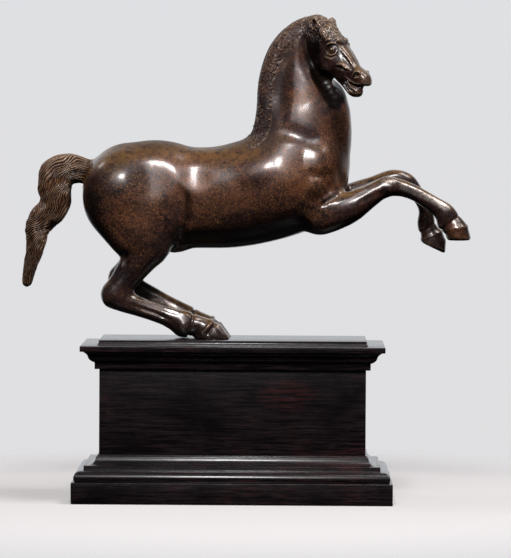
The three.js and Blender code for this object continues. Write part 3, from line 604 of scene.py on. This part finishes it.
class Clay:
    def __init__(self, piece):
        self.mesh = piece.data
        self.spots = coordinates(self.mesh)
        self.normals = np.empty(len(self.spots) * 3)
        self.mesh.vertices.foreach_get("normal", self.normals)
        self.normals = self.normals.reshape(-1, 3)
        self.lifted = np.zeros(len(self.spots))
        self.raised = np.zeros(len(self.spots))
        self.sunk = np.zeros(len(self.spots))
        self.hair = np.zeros(len(self.spots))
        self.tree = KDTree(len(self.spots))
        for index, spot in enumerate(self.spots):
            self.tree.insert(spot, index)
        self.tree.balance()
        polygons = [tuple(face.vertices) for face in self.mesh.polygons]
        self.skin = BVHTree.FromPolygons(self.spots.tolist(), polygons)

    def onSkin(self, point, inward=None):
        if inward is not None:
            hit = self.skin.ray_cast(point - inward * (brush["rayStart"] * mm), inward)
            if hit[0]:
                return hit[0]
        return self.skin.find_nearest(point)[0]

    def stroke(self, points, width, height, ends=brush["ends"], hair=False):
        width, height = width * mm, height * mm
        path = evenLine(points, width * brush["spacing"])
        last = max(len(path) - 1, 1)
        least, more = brush["width"]
        for step, point in enumerate(path):
            if hair:
                taper = self.hairTaper(step, last)
            else:
                along = min(step, last - step) / last
                taper = min(1, brush["endHeight"] + along / ends) if last > 1 else 1
            reach = width * (least + more * taper)
            for _, index, distance in self.tree.find_range(point, reach):
                t = 1 - (distance / reach) ** 2
                if hair:
                    self.hair[index] = max(self.hair[index], height * taper * math.sqrt(t))
                elif height > 0:
                    self.raised[index] = max(self.raised[index], height * taper * t * t)
                else:
                    self.sunk[index] = max(self.sunk[index], -height * taper * t * t)

    def hairTaper(self, step, last):
        root, more = brush["hairRoot"]
        tip, length = brush["hairTip"]
        return (root + more * step / last) * min(1, tip + (last - step) / last / length)

    def dab(self, point, width, height):
        self.stroke([point, point + Vector((0, 0, 1e-6))], width, height)

    def settle(self, hairDepth=0.0):
        move = self.lifted + self.raised - self.sunk
        covered = self.hair > 0
        move[covered] += self.hair[covered] - hairDepth * mm
        self.spots += self.normals * move[:, None]
        self.mesh.vertices.foreach_set("co", self.spots.ravel())
        self.mesh.update()


def evenLine(points, spacing):
    out = []
    for a, b in zip(points, points[1:]):
        count = max(1, round((b - a).length / spacing))
        out += [a.lerp(b, k / count) for k in range(count)]
    return out + [points[-1]]


def onSide(clay, side, pairs):
    inward = Vector((0, -side, 0))
    return [clay.onSkin(horsePoint(x, 0, z), inward) for x, z in pairs]


def onHead(clay, side, pairs):
    inward = -side * headSide()
    return [clay.onSkin(headPoint(u, 0, w), inward) for u, w in pairs]


def bothSides(clay, pairs, width, height, **more):
    for side in (-1, 1):
        clay.stroke(onSide(clay, side, pairs), width, height, **more)


def bothCheeks(clay, pairs, width, height):
    for side in (-1, 1):
        clay.stroke(onHead(clay, side, pairs), width, height)


def ringRound(clay, centre, axis, radius, width, height, turns=28):
    middle = horsePoint(*centre)
    ahead = (horsePoint(*[c + a for c, a in zip(centre, axis)]) - middle).normalized()
    across = Vector((0, 1, 0))
    up = ahead.cross(across).normalized()
    points = []
    for k in range(turns + 1):
        angle = 2 * math.pi * k / turns
        out = (across * math.cos(angle) + up * math.sin(angle)) * radius * mm
        points.append(clay.onSkin(middle + out))
    clay.stroke(points, width, height, ends=brush["ringEnds"])


# Muscles, folds and joints of the body: points, width and height in mm

bodyForms = {
    "neckValley": ([(44, 217), (40.6, 208), (38, 199),
                    (36.6, 188), (36, 176), (36, 163), (37, 154)], 9.0, -1.5),
    "throatHollow": ([(61, 208), (64, 197), (67, 186), (72, 176), (77, 168)], 10.0, -3.2),
    "neckSide": ([(57, 226), (56, 208), (54.5, 192), (53, 176)], 16.0, 0.9),
    "neckMuscle": ([(54, 174), (62, 162), (67, 154)], 7.0, 0.15),
    "neckBase": ([(34, 152), (44, 147.8), (54, 143.8), (64, 139.8)], 10.0, -1.2),
    "shoulderFurrow": ([(51, 121.5), (62.6, 119.5), (71.3, 119)], 5.0, -0.9),
    "armFold": ([(64, 96.4), (68.4, 100), (74.2, 102.9), (78.5, 105.8)], 2.8, -1.5),
    "armRidge": ([(65.5, 100.7), (73.4, 105.8)], 3.2, 0.8),
    "flankFold": ([(-36.7, 108.6), (-32.4, 100), (-31.7, 89.2), (-33.8, 78.4), (-36, 69.8)], 6.5, -1.7),
    "heelCordFurrow": ([(-76.5, 64), (-74.9, 56), (-76, 49), (-79.5, 42.4)], 3.0, -1.3),
    "heelCordRidge": ([(-79.2, 59.7), (-77, 51)], 1.9, 0.5),
    "shankRidge": ([(-69.8, 30.2), (-58.3, 27.3), (-47.5, 23.7), (-38.2, 20.8), (-31.7, 18.6)], 2.4, 0.8),
    "shankFurrow": ([(-72, 26.5), (-65.5, 23.7), (-54.7, 20.1), (-42.5, 14.5)], 2.2, -1.1),
    "fetlock": ([(-36, 9), (-33, 12)], 4.0, 0.6),
    "forearmRidge": ([(75, 97.8), (86, 103.6), (101.5, 112.2), (109.4, 116.6),
                      (119.5, 113.7), (136, 106.5), (152, 96)], 2.6, 0.5),
    "forearmFurrow": ([(92, 99), (104, 105), (112, 106.5)], 2.6, -0.5),
}

# Broad swells and hollows: forward, up, width and height in mm
bodySwells = {
    "rump": (-82, 112.2, 26, 2.0),
    "loinHollow": (-56.9, 116.5, 20, -2.0),
    "flankHollow": (-24, 117, 13, -1.1),
    "ribs": (22, 116, 42, 2.2),
    "neckFoot": (50, 180.5, 14, 0.7),
    "shoulderBlade": (17.5, 121, 26, 3.4),
    "shoulderHollow": (48, 132, 20, -1.0),
    "shoulderFront": (68, 128, 21, 3.1),
    "shoulderPoint": (61.5, 111.0, 11, 2.4),
    "stifle": (-40, 84, 11, 0.6),
    "knee": (114.5, 108.5, 6, 0.6),
}


def modelBody(clay):
    for line, width, height in bodyForms.values():
        bothSides(clay, line, width, height)
    for x, z, width, height in bodySwells.values():
        for side in (-1, 1):
            clay.dab(onSide(clay, side, [(x, z)])[0], width, height)


# Face: eyes, lids, nostrils, lips and folds, drawn on each cheek as (forward, up)

face = {
    "eyeSocket": ([(18.6, -9.8), (23.0, -10.4)], 5.2, -1.2),
    "brow": ([(18.6, -3.2), (22.6, -3.6), (25.4, -5.6)], 3.4, 1.0),
    "upperLid": ([(15.7, -8.4), (18.2, -6.7), (20.6, -6.0), (22.8, -6.2), (24.6, -8.0)], 1.15, 1.3),
    "lidFurrow": ([(15.6, -6.4), (18.4, -4.6), (21.6, -4.0), (24.0, -5.2)], 1.1, -0.7),
    "lowerLid": ([(16.7, -12.1), (18.7, -13.9), (21.2, -14.6), (23.3, -13.8), (24.8, -11.5)], 1.0, 1.0),
    "underLid": ([(14.0, -13.5), (17.4, -16.1), (21.3, -17.2), (24.0, -15.7)], 1.3, 0.6),
    "nasalRidge": ([(24.4, -7.4), (26.4, -10.2), (29.9, -14.1), (33.5, -18.5), (38.0, -24.3)], 1.5, 0.7),
    "nasalFurrow": ([(27.6, -14.2), (32.4, -19.4), (36.4, -24.4)], 2.6, -0.6),
    "cheekCrest": ([(25.1, -20.8), (29.2, -21.1), (32.3, -23.6), (34.6, -24.4)], 1.6, 1.0),
    "crestFurrow": ([(24.1, -22.9), (28.6, -23.8), (32.7, -26.2)], 1.5, -1.1),
    "nostrilRim": ([(36.7, -30.8), (37.6, -28.6), (39.4, -26.7), (41.8, -26.2), (43.6, -27.8)], 1.1, 1.2),
    "nostrilHole": ([(39.5, -28.5), (42.0, -28.2)], 1.35, -2.4),
    "nostrilFloor": ([(38.3, -30.9), (41.7, -30.6)], 1.1, 0.9),
    "upperLip": ([(30.4, -29.6), (34.5, -32.6), (38.4, -34.3), (44.0, -34.9)], 1.2, 1.0),
    "lipFurrow": ([(31.4, -31.8), (35.0, -34.8), (39.4, -36.6), (44.6, -37.2)], 1.2, -1.2),
    "foldA": ([(25.9, -33.6), (29.1, -37.9), (33.1, -42.2)], 0.95, 0.8),
    "foldB": ([(29.0, -32.9), (32.5, -37.9), (36.0, -42.2)], 0.95, 0.8),
    "foldC": ([(31.1, -32.9), (34.5, -37.2), (38.6, -40.0)], 0.95, 0.7),
    "furrowA": ([(27.4, -33.2), (30.8, -38.0), (34.6, -42.4)], 0.8, -0.8),
    "furrowB": ([(30.2, -33.2), (33.6, -37.8), (37.4, -41.2)], 0.8, -0.8),
    "jawLine": ([(9.6, -23.6), (11.6, -29.0), (15.4, -31.6)], 3.0, 0.7),
    "earRimBack": ([(3.6, 5.0), (2.6, 8.0), (2.2, 11.0), (2.8, 13.6)], 1.1, 0.9),
    "earRimFront": ([(8.8, 5.0), (9.4, 8.0), (8.0, 11.0), (5.4, 13.6)], 1.1, 0.9),
    "earHollow": ([(5.8, 6.4), (5.6, 10.6)], 2.3, -1.9),
}

# The ball's and pupil's width and height, and the ring's radius, width and height
eye = {"place": (21.3, -10.4), "ball": (3.1, 1.9), "ring": (1.45, 0.55, -0.55), "pupil": (0.7, 0.35)}


def modelFace(clay):
    for line, width, height in face.values():
        bothCheeks(clay, line, width, height)
    for side in (-1, 1):
        clay.dab(onHead(clay, side, [eye["place"]])[0], *eye["ball"])


def modelEyes(clay, turns=20):
    u, w = eye["place"]
    radius, width, height = eye["ring"]
    angles = [2 * math.pi * k / turns for k in range(turns + 1)]
    ring = [(u + radius * math.cos(a), w + radius * math.sin(a)) for a in angles]
    for side in (-1, 1):
        clay.dab(onHead(clay, side, [eye["place"]])[0], *eye["pupil"])
        clay.stroke(onHead(clay, side, ring), width, height, ends=brush["ringEnds"])


# Joints, crowns and heels of the legs: middle, axis, reach, width, height

legRings = [
    ((-28.4, -15, 12.0), (1, 0, -0.25), 9, 1.7, -1.0),
    ((-28.4, 15, 13.6), (1, 0, -0.25), 9, 1.7, -1.0),
    ((-15.0, -15, 12.6), (1, 0, -0.7), 9, 2.1, 1.1),
    ((-15.0, 15, 12.6), (1, 0, -0.7), 9, 2.1, 1.1),
    ((-12.2, -15, 11.0), (1, 0, -0.7), 9, 1.5, -0.8),
    ((-12.2, 15, 11.0), (1, 0, -0.7), 9, 1.5, -0.8),
    ((157.6, -13, 85.2), (0.62, 0, -0.78), 9, 1.9, -0.5),
    ((164.2, -13, 81.4), (0.2, 0, -1), 9, 2.0, 0.4),
    ((141.6, 13, 80.0), (0.5, 0, -0.86), 9, 1.9, -0.5),
    ((146.4, 13, 76.0), (0.45, 0, -0.9), 9, 2.0, 0.4),
]


# Hair: tufts of parallel strands that follow the skin

def walk(clay, start, heading, length, bend, step=0.4):
    point, normal, _, _ = clay.skin.find_nearest(start)
    points = [point]
    count = max(4, round(length / step))
    for k in range(count):
        heading = (heading - normal * heading.dot(normal)).normalized()
        heading = Matrix.Rotation(bend(k / count) * step, 3, normal) @ heading
        point, normal, _, _ = clay.skin.find_nearest(point + heading * step * mm)
        points.append(point)
    return points


def tuft(clay, start, heading, length, bend, kind):
    point, normal, _, _ = clay.skin.find_nearest(start)
    heading = (heading - normal * heading.dot(normal)).normalized()
    across = normal.cross(heading)
    middle = (kind["strands"] - 1) / 2
    for number in range(kind["strands"]):
        away = number - middle
        begin = point + across * away * kind["gap"] * mm
        reach = length * (1 - kind["shorter"] * abs(away))
        height = kind["height"] * (1 - kind["lower"] * abs(away))
        clay.stroke(walk(clay, begin, heading, reach, bend), kind["width"], height, hair=True)


def waveBend(strength, turn):
    return lambda share: turn * strength * math.cos(2 * math.pi * share)


def hookBend(strength, turn, root=0.25, growth=1.5):
    return lambda share: turn * strength * (root + growth * share)


# Mane: rows of tufts at distances inward from the crest, and larger curls along its edge, in mm
mane = {
    "crest": [(62, 233.4), (54, 231.8), (47, 228.6), (41, 223.8), (35, 216.5), (29.4, 206),
              (24.6, 196), (20.6, 184), (19.4, 172), (19.4, 160), (17.6, 150), (13.8, 142)],
    "tufts": 25,
    "rows": (-4, 0.2, 3.8, 7.2),
    "uneven": (0.1, 0.4),
    "outFrom": (5, 16),
    "slant": -0.35,
    "slantUneven": (-0.45, 0.35),
    "length": (6.5, 11.0),
    "bend": (0.12, 0.34),
    "waveMore": 1.5,
    "tuft": {"strands": 4, "gap": 0.82, "width": 0.6, "height": 0.78, "shorter": 0.12, "lower": 0.14},
    "curls": [(24.3, 197), (21.8, 189.6), (20.6, 182), (20.4, 174),
              (19.8, 166.4), (17.8, 158), (15.6, 150.5)],
    "curl": {"strands": 3, "gap": 1.0, "width": 0.75, "height": 1.25, "shorter": 0.12, "lower": 0.14},
    "curlHeading": (0.25, 0, -1),
    "curlLength": 8.5,
    "curlBend": 0.34,
}


def modelMane(clay):
    crest = evenLine([horsePoint(x, 0, z) for x, z in mane["crest"]], 1 * mm)
    along, deep = mane["uneven"]
    near, far = mane["outFrom"]
    for number in range(mane["tufts"]):
        for row, depth in enumerate(mane["rows"]):
            share = (number + 0.5 * (row % 2) + random.uniform(-along, along)) / mane["tufts"]
            at = max(0, int(share * (len(crest) - 3)))
            here, after = crest[at], crest[at + 1]
            down = (after - here).normalized()
            inward = Vector((-down.z, 0, down.x)) * (1 if down.z < 0 else -1)
            for side in (-1, 1):
                out = Vector((0, side * (near if depth < 0 else far) * mm, 0))
                start = here + inward * (depth + random.uniform(-deep, deep)) * mm + out
                heading = down + inward * (mane["slant"] + random.uniform(*mane["slantUneven"]))
                turn = side * random.choice((-1, 1))
                strength = random.uniform(*mane["bend"])
                bends = (hookBend(strength, turn), waveBend(strength * mane["waveMore"], turn))
                bend = random.choice(bends)
                tuft(clay, start, heading, random.uniform(*mane["length"]), bend, mane["tuft"])
    for place in mane["curls"]:
        for side in (-1, 1):
            start = onSide(clay, side, [place])[0]
            bend = hookBend(mane["curlBend"], side)
            tuft(clay, start, Vector(mane["curlHeading"]), mane["curlLength"], bend, mane["curl"])


# Forelock: rows of curls by height from the poll in mm, and how far round each spreads in degrees
forelock = {
    "rows": (14.2, 12.0, 9.4, 6.8, 4.2, 1.6, -0.8),
    "spread": (40, 70, 92, 98, 100, 100, 96),
    "across": 10,
    "centre": 4,
    "outFrom": 40,
    "heading": (0.3, 0.5, -1),
    "length": (3.9, 4.7),
    "bend": (0.5, 0.7),
    "tuft": {"strands": 3, "gap": 0.74, "width": 0.56, "height": 0.95, "shorter": 0.12, "lower": 0.14},
}


def modelForelock(clay):
    centre, away = forelock["centre"], forelock["outFrom"]
    forward, aside, down = forelock["heading"]
    for row, (w, spread) in enumerate(zip(forelock["rows"], forelock["spread"])):
        for number in range(forelock["across"]):
            share = (number + 0.5 * (row % 2)) / (forelock["across"] - 0.5) * 2 - 1
            angle = math.radians(share * spread)
            outside = headPoint(centre + away * math.cos(angle), away * math.sin(angle), w)
            inside = headPoint(centre, 0, w)
            start = clay.skin.ray_cast(outside, (inside - outside).normalized())[0]
            if not start:
                continue
            heading = headPoint(forward * math.cos(angle), share * aside, down) - headPoint(0, 0, 0)
            turn = 1 if (number + row) % 2 else -1
            bend = waveBend(random.uniform(*forelock["bend"]), turn)
            tuft(clay, start, heading, random.uniform(*forelock["length"]), bend, forelock["tuft"])


def modelTail(clay):
    share, offset, ahead, cover = alongTail(clay.spots)
    lift = -offset[:, 0] * ahead[:, 2] + offset[:, 2] * ahead[:, 0]
    angle = np.arctan2(lift, -offset[:, 1])
    along = share * np.pi
    sway = 0
    for size, rate, turn, phase in tail["sways"]:
        sway = sway + size * np.sin(rate * along + turn * angle + phase)
    angle = angle + sway + tail["twist"] * ramp(share, *tail["twists"])
    upper = np.abs(np.sin(angle * tail["strands"] / 2))
    lower = np.abs(np.sin(angle * tail["lowerStrands"] / 2))
    thin = ramp(share, *tail["thins"])
    ridges = np.sqrt(upper * (1 - thin) + lower * thin)
    least, more, rate, turn = tail["swell"]
    swell = least + more * np.sin(rate * along + turn * angle)
    clay.lifted += cover * (ridges * swell - tail["groove"]) * tail["height"] * mm


clay = Clay(horse)
modelBody(clay)
clay.settle()
print("body modelled")
refine(horse, hairShare)
clay = Clay(horse)
modelFace(clay)
for ring in legRings:
    ringRound(clay, *ring)
modelMane(clay)
modelForelock(clay)
modelTail(clay)
clay.settle(casting["hairDepth"])
print("face, legs and hair modelled", triangles(horse))
clay = Clay(horse)
modelEyes(clay)
clay.settle()
applyModifier(horse, "DECIMATE", ratio=min(1, casting["triangleLimit"] / triangles(horse)))
print("horse finished", triangles(horse))


# Wear: ridges are rubbed bright, which also paints a highlight on them, and hollows keep their dark lacquer

def writeMark(piece, name, values):
    layer = piece.data.attributes.new(name, "FLOAT", "POINT")
    layer.data.foreach_set("value", values.astype(np.float32))


def markWear(piece, blurs=2):
    mesh = piece.data
    spots = coordinates(mesh)
    ends = np.empty(len(mesh.edges) * 2, dtype=np.int64)
    mesh.edges.foreach_get("vertices", ends)
    first, second = ends.reshape(-1, 2).T
    normals = np.empty(len(spots) * 3)
    mesh.vertices.foreach_get("normal", normals)
    normals = normals.reshape(-1, 3)
    links = np.bincount(np.concatenate((first, second)), minlength=len(spots))

    def meanOf(atFirst, atSecond):
        total = np.bincount(first, atFirst, len(spots)) + np.bincount(second, atSecond, len(spots))
        return total / np.maximum(links, 1)

    def aroundEach(values):
        return meanOf(values[second], values[first])

    gap = np.linalg.norm(spots[first] - spots[second], axis=1)
    reach = meanOf(gap, gap)
    middle = np.stack([aroundEach(spots[:, axis]) for axis in range(3)], axis=1)
    bulge = ((spots - middle) * normals).sum(axis=1) / np.maximum(reach, 1e-6) ** 2 * mm
    for _ in range(blurs):
        bulge = 0.5 * bulge + 0.5 * aroundEach(bulge)
    writeMark(piece, "wear", np.clip(bulge, -1, 1))


# Painted shade: dark colour, without lacquer, put where the throat, gullet, chest, belly, rump edge, flank
# fold, mane edge and lower tail fall in shade: forward and up, width in mm and strength

shadows = {
    "throat": ([(58.6, 215), (59.2, 205), (61, 194), (65, 183), (70, 175), (75, 168)], 9.5, 1.0),
    "maneEdge": ([(40.7, 208), (37.9, 192), (35.3, 174), (31.7, 156)], 7, 0.3),
    "gullet": ([(74, 172), (78, 178), (81, 184)], 10, 1.0),
    "rump": ([(-97, 120), (-101, 102), (-97, 84), (-90, 74)], 16, 0.42),
    "flankFold": ([(-31, 112), (-30.5, 98), (-32, 86)], 6.5, 0.4),
    "tail": ([(-127, 100), (-134, 88), (-141, 70), (-147, 46)], 12, 0.2),
    "chest": ([(74, 163), (79, 150), (80, 136), (77, 122)], 17, 0.42),
    "belly": ([(-32, 73), (-15, 73.5), (0, 74), (15, 75.5), (28, 77.5), (44, 81), (54, 84)], 11.0, 1.4),
}


# Places where the lacquer has worn through to a warmer tone

rubs = {
    "shoulder": ([(38, 125), (45, 116), (52, 108)], 12, 0.6),
    "flank": ([(-22, 104), (-6, 102), (12, 104)], 16, 0.5),
    "thigh": ([(-70, 92), (-58, 84)], 11, 0.3),
    "loin": ([(-70, 133), (-40, 128), (-14, 131)], 11, 0.35),
    "foreHoof": ([(156, 82), (163, 76), (168, 72)], 8, 0.7),
}


# Ridges of the legs rubbed to bright metal, lightened further as a painted highlight

polishAndPaintedHighlights = {
    "foreCannon": ([(122, 111.5), (140, 103.5), (156, 95)], 4.2, 1.0),
    "knee": ([(108, 115), (118, 114.5)], 4.0, 0.6),
    "foreArm": ([(68, 101), (76, 104)], 3.5, 0.5),
    "hindCannon": ([(-70, 31), (-56, 28), (-40, 23)], 3.0, 0.8),
    "pastern": ([(-25, 16), (-18, 15.5)], 2.6, 0.8),
    "hindHoof": ([(-9, 11), (-4, 5.5)], 4.0, 1.0),
    "foreFetlock": ([(159, 86), (164, 82)], 3.0, 0.6),
}


# Where the legs' darker tone begins, how far it fades, and the bound that keeps it off the rest, in mm
limbs = {"hind": (62, 16, 20), "fore": (92, 16, 135)}


def limbShare(spots):
    x, y, z = (spots.T - np.array(horsePoint(0, 0, 0))[:, None]) / mm
    top, fade, before = limbs["hind"]
    hind = np.clip((top - z) / fade, 0, 1) * (x < before)
    start, fade, below = limbs["fore"]
    fore = np.clip((x - start) / fade, 0, 1) * (z < below)
    return np.maximum(hind, fore)


def markFinish(piece):
    clay = Clay(piece)
    # shade is painted shade, rub worn lacquer, polish rubbed metal with a painted highlight
    for name, places in (("shade", shadows), ("rub", rubs), ("polish", polishAndPaintedHighlights)):
        clay.raised[:] = 0
        for line, width, strength in places.values():
            bothSides(clay, line, width, strength, ends=brush["markEnds"])
        writeMark(piece, name, clay.raised / mm)
    writeMark(piece, "limb", limbShare(clay.spots))
    writeMark(piece, "hair", maneShare(clay.spots))
    writeMark(piece, "tailHair", alongTail(clay.spots)[3])


markWear(horse)
markFinish(horse)
bpy.ops.object.shade_smooth()
horse.data.materials.append(bronzeFinish)
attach(horse, "root")
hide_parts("horse")


# Studio: camera in mm, floor and air

studio = {
    "cameraPlace": (42.97, -3200, 277.87),
    "cameraAim": (15.56, 0, 158.4),
    "cameraRoll": 0.32,
    "lens": 286.7,
    "film": 36,
    "farthest": 50,
    "floorRadius": 1.2,
    "floorSides": 96,
    "floor": (0.86, 0.82, 0.82, 1),
    "floorGlow": 0.17,
    "floorFades": (0.22, 0.52),
    "backdrop": (0.741, 0.747, 0.768, 1),
    "backdropLow": (0.745, 0.741, 0.755, 1),
    "horizon": (-0.09, 0.03),
    "airTint": (0.93, 0.96, 1, 1),
    "roomGlow": (-0.05, 0.3, 0.0, 0.035),
    "ceilingGlow": (0.3, 0.9, 0.0, 0.075),
    "wallGlow": 0.82,
    "wallDepth": (0.3, 0.75),
    "wallHeight": (-0.5, -0.15),
    "wallOnSheen": (0.05, 0.95),
    "lightsCentre": 0.2,
}

# Softboxes: azimuth from the camera (+ right), elevation, distance, width and height in metres, radiance
softboxes = {
    "key": (-2, 36, 2.4, (0.48, 0.44), 43),
    "umbrella": (-6, 35, 2.7, (1.8, 1.3), 1.4),
    "right": (55, 50, 2.2, (0.4, 0.4), 8),
    "overhead": (70, 62, 1.8, (0.7, 0.6), 8),
    "left": (-105, 46, 1.9, (0.4, 0.4), 5),
}


def makeCamera():
    data = bpy.data.cameras.new("photo camera")
    data.lens = studio["lens"]
    data.sensor_fit = "VERTICAL"
    data.sensor_height = studio["film"]
    data.clip_end = studio["farthest"]
    camera = bpy.data.objects.new("photo camera", data)
    bpy.context.scene.collection.objects.link(camera)
    place = Vector(studio["cameraPlace"]) * mm
    aim = Vector(studio["cameraAim"]) * mm
    turn = (aim - place).to_track_quat("-Z", "Y").to_matrix().to_4x4()
    roll = Matrix.Rotation(math.radians(studio["cameraRoll"]), 4, "Z")
    camera.matrix_world = Matrix.Translation(place) @ turn @ roll
    bpy.context.scene.camera = camera


def softbox(name, azimuth, elevation, distance, size, radiance):
    around, up = math.radians(azimuth), math.radians(elevation)
    out = Vector((math.cos(up) * math.sin(around), -math.cos(up) * math.cos(around), math.sin(up)))
    data = bpy.data.lights.new(name + " softbox", "AREA")
    data.shape = "RECTANGLE"
    data.size, data.size_y = size
    data.energy = radiance * math.pi * size[0] * size[1]
    light = bpy.data.objects.new(data.name, data)
    bpy.context.scene.collection.objects.link(light)
    light.location = out * distance + Vector((0, 0, studio["lightsCentre"]))
    light.rotation_euler = (-out).to_track_quat("-Z", "Y").to_euler()


def makeFloor():
    deselectAll()
    bpy.ops.mesh.primitive_circle_add(vertices=studio["floorSides"], radius=studio["floorRadius"],
                                      fill_type="NGON", location=(0, 0, 0))
    floor = bpy.context.object
    floor.name = "studio floor"
    material, shader, place = newMaterial("pale paper")
    far = place.node("ShaderNodeVectorMath", {"operation": "LENGTH"}, 1, i0=place)
    feed(shader, Base_Color=studio["floor"], Roughness=0.9, Specular_IOR_Level=0.0,
         Emission_Color=studio["floor"], Emission_Strength=studio["floorGlow"],
         Alpha=far.between(*studio["floorFades"], 1, 0))
    floor.data.materials.append(material)
    floor.visible_diffuse = False
    floor.visible_glossy = False
    floor.visible_shadow = False


def makeAir():
    world = bpy.data.worlds.new("studio air")
    world.use_nodes = True
    tree = world.node_tree
    way = Wire(tree, tree.nodes.new("ShaderNodeTexCoord").outputs["Generated"])
    depth = way.node("ShaderNodeSeparateXYZ", {}, 1, Vector=way)
    height = way.node("ShaderNodeSeparateXYZ", {}, 2, Vector=way)
    straight = way.node("ShaderNodeLightPath", {}, 0)
    glossy = way.node("ShaderNodeLightPath", {}, 3)
    dull, shiny = studio["wallOnSheen"]
    wall = depth.between(*studio["wallDepth"]) * height.between(*studio["wallHeight"])
    wall = wall * (dull + shiny * glossy)
    glow = height.between(*studio["roomGlow"]) + studio["wallGlow"] * wall
    glow = glow + height.between(*studio["ceilingGlow"])
    seen = way.mixed(height.between(*studio["horizon"]), studio["backdropLow"], studio["backdrop"])
    light = way.node("ShaderNodeBackground", {}, Color=studio["airTint"], Strength=glow)
    picture = way.node("ShaderNodeBackground", {}, Color=seen, Strength=1.0)
    air = way.node("ShaderNodeMixShader", {}, i0=straight, i1=light, i2=picture)
    tree.links.new(air.socket, tree.nodes["World Output"].inputs["Surface"])
    bpy.context.scene.world = world


makeCamera()
makeFloor()
makeAir()
for name, setting in softboxes.items():
    softbox(name, *setting)
bpy.context.scene.view_settings.view_transform = "Standard"
print("studio set")
